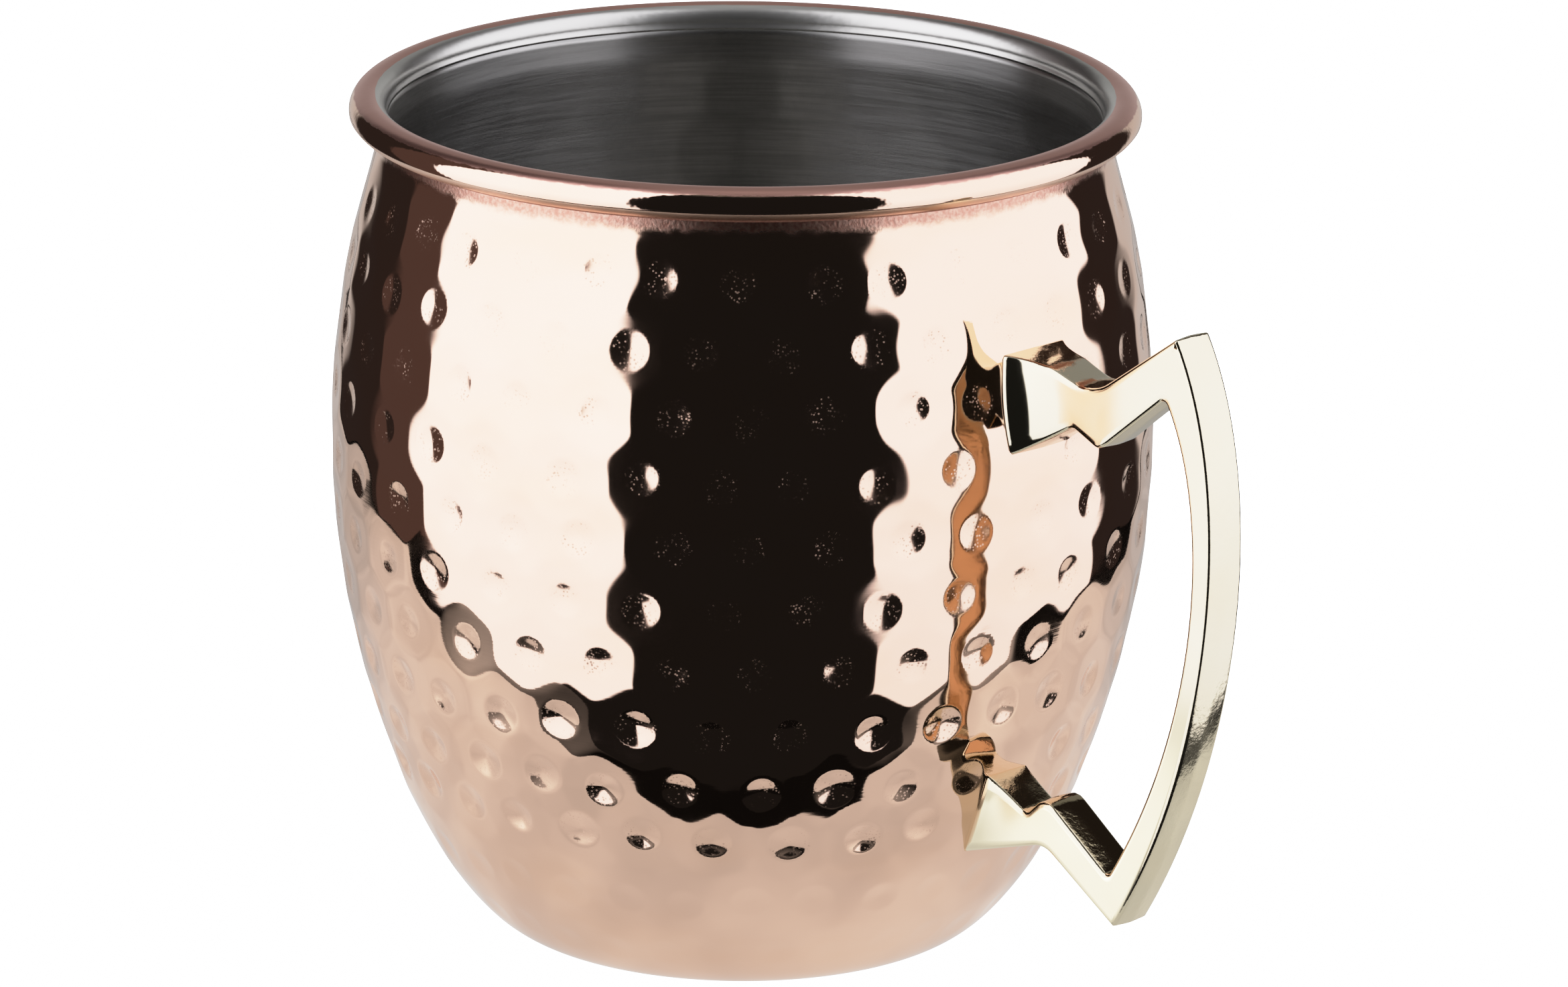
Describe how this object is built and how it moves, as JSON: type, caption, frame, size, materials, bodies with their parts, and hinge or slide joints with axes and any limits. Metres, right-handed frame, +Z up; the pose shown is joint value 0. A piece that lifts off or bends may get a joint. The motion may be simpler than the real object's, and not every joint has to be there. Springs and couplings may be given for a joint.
{
  "type": "copper mug",
  "caption": "Round-bellied drinking mug with a hammered copper jacket, a rolled rim, a thin steel liner and a cast brass handle.",
  "frame": {"origin": "middle of the flat base, on the mug's axis, at the height of the surface it stands on", "axes": "+Z up along the mug's axis, +X from the axis towards the handle, +Y completes a right-handed frame"},
  "size_m": [0.1165, 0.09, 0.0937],
  "materials": {
    "copper": "polished copper, hammered",
    "steel": "brushed around the axis",
    "brass": "polished casting",
    "stud_steel": "plain turned"
  },
  "bodies": {
    "root": {"copper_jacket": "copper", "steel_liner": "steel", "handle": "brass", "upper_stud": "stud_steel", "lower_stud": "stud_steel"}
  },
  "joints": []
}
